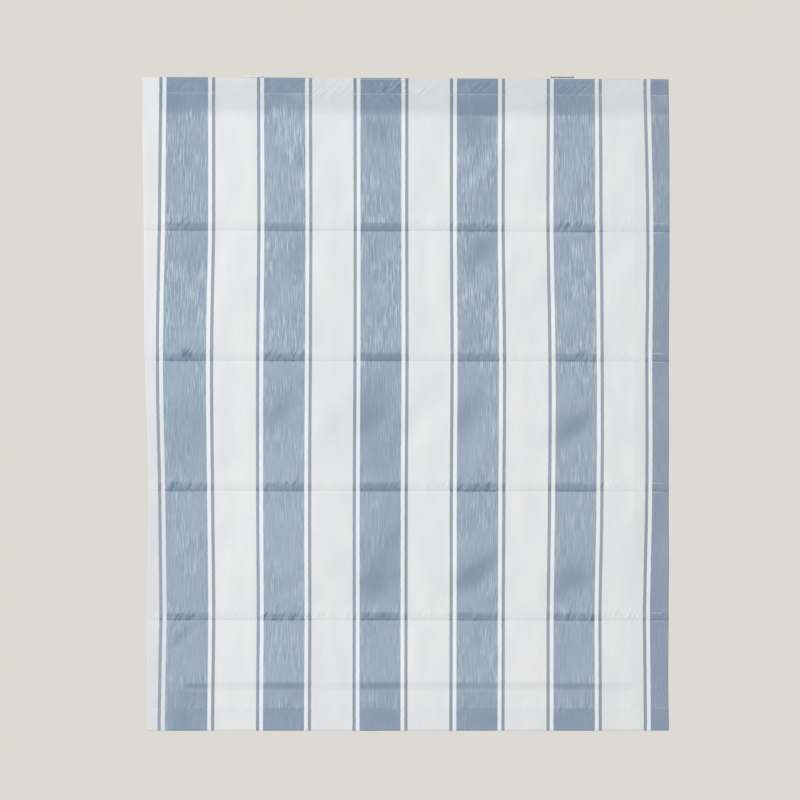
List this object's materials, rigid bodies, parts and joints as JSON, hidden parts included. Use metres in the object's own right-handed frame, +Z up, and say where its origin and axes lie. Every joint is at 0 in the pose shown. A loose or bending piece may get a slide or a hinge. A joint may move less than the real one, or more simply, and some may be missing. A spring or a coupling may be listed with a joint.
{
  "type": "roman blind",
  "caption": "Striped cotton roman blind at full drop, with stitched rod pockets, a weighted hem and a spring lift in a soffit-fixed head rail.",
  "frame": {"origin": "middle of the screw pattern of the two brackets, level with their top faces", "axes": "+X along the head rail to the viewer's right, +Y from the room to the window, +Z up"},
  "size_m": [1.05, 0.0677, 1.311],
  "materials": {
    "cloth": "striped cotton, matt",
    "tape": "woven white tape",
    "rail": "white powder coat",
    "rail_caps": "moulded, matt white",
    "bracket": "zinc plated",
    "lever": "moulded nylon",
    "cradle": "moulded acetal",
    "spool": "moulded acetal",
    "motor_case": "moulded, satin",
    "steel": "bright drawn",
    "spring": "blued spring strip",
    "cord": "braided polyester",
    "rod": "pultruded glass fibre",
    "ring": "polished",
    "bar": "mill finish",
    "anchor": "moulded, pale"
  },
  "bodies": {
    "headrail": {"head_rail": "rail", "end_cap_left": "rail_caps", "end_cap_right": "rail_caps", "bracket_left": "bracket", "bracket_right": "bracket", "lever_rivet_left": "steel", "lever_rivet_right": "steel", "spool_cradle_left": "cradle", "spool_cradle_centre": "cradle", "spool_cradle_right": "cradle", "motor_base": "motor_case", "motor_cover": "motor_case", "motor_screws": "steel", "storage_pin": "steel", "power_spring": "spring", "hook_tape": "tape", "loop_tape": "tape", "striped_cloth": "cloth", "lift_cord_left": "cord", "lift_cord_centre": "cord", "lift_cord_right": "cord"},
    "drive": {"drive_shaft": "steel", "shaft_collars": "steel", "cord_spool_left": "spool", "cord_spool_centre": "spool", "cord_spool_right": "spool", "cord_wraps": "cord", "spring_drum": "spool"},
    "storage": {"storage_drum": "spool"},
    "lever_left": {"bracket_lever_left": "lever"},
    "lever_right": {"bracket_lever_right": "lever"},
    "bottom": {"bottom_bar": "bar", "bar_end_cap_left": "rail_caps", "bar_end_cap_right": "rail_caps", "cord_anchors": "anchor", "cord_knots": "cord"},
    "rod_1": {"rib_rod_1": "rod", "rod_tips_1": "anchor", "rod_pocket_1": "tape", "cord_rings_1": "ring"},
    "rod_2": {"rib_rod_2": "rod", "rod_tips_2": "anchor", "rod_pocket_2": "tape", "cord_rings_2": "ring"},
    "rod_3": {"rib_rod_3": "rod", "rod_tips_3": "anchor", "rod_pocket_3": "tape", "cord_rings_3": "ring"},
    "rod_4": {"rib_rod_4": "rod", "rod_tips_4": "anchor", "rod_pocket_4": "tape", "cord_rings_4": "ring"}
  },
  "joints": [
    {"name": "lift", "type": "slide", "parent": "headrail", "child": "bottom", "axis": [0, 0, 1], "range_m": [0, 1.019], "deforming": ["striped_cloth", "lift_cord_left", "lift_cord_centre", "lift_cord_right"]},
    {"name": "rod_1_rise", "type": "slide", "parent": "headrail", "child": "rod_1", "axis": [0, 0, 1], "range_m": [0, 0.2204]},
    {"name": "rod_2_rise", "type": "slide", "parent": "headrail", "child": "rod_2", "axis": [0, 0, 1], "range_m": [0, 0.4361]},
    {"name": "rod_3_rise", "type": "slide", "parent": "headrail", "child": "rod_3", "axis": [0, 0, 1], "range_m": [0, 0.6519]},
    {"name": "rod_4_rise", "type": "slide", "parent": "headrail", "child": "rod_4", "axis": [0, 0, 1], "range_m": [0, 0.8676]},
    {"name": "shaft_spin", "type": "hinge", "parent": "headrail", "child": "drive", "pos_m": [0, -0.00228, -0.023], "axis": [-1, 0, 0], "range_deg": [0, 5457]},
    {"name": "storage_spin", "type": "hinge", "parent": "headrail", "child": "storage", "pos_m": [0.19, 0.01353, -0.023], "axis": [1, 0, 0], "range_deg": [0, 6139]},
    {"name": "lever_left_turn", "type": "hinge", "parent": "headrail", "child": "lever_left", "pos_m": [-0.32, 0.00843, 0], "axis": [0, 0, 1], "range_deg": [0, 90]},
    {"name": "lever_right_turn", "type": "hinge", "parent": "headrail", "child": "lever_right", "pos_m": [0.32, 0.00843, 0], "axis": [0, 0, -1], "range_deg": [0, 90]}
  ],
  "couplings": [
    {"joint": "rod_1_rise", "follows": "lift", "ratio": 0.2158},
    {"joint": "rod_2_rise", "follows": "lift", "ratio": 0.42752},
    {"joint": "rod_3_rise", "follows": "lift", "ratio": 0.63925},
    {"joint": "rod_4_rise", "follows": "lift", "ratio": 0.85098},
    {"joint": "shaft_spin", "follows": "lift", "rad_per_m": 93.458},
    {"joint": "storage_spin", "follows": "lift", "rad_per_m": 105.14}
  ]
}
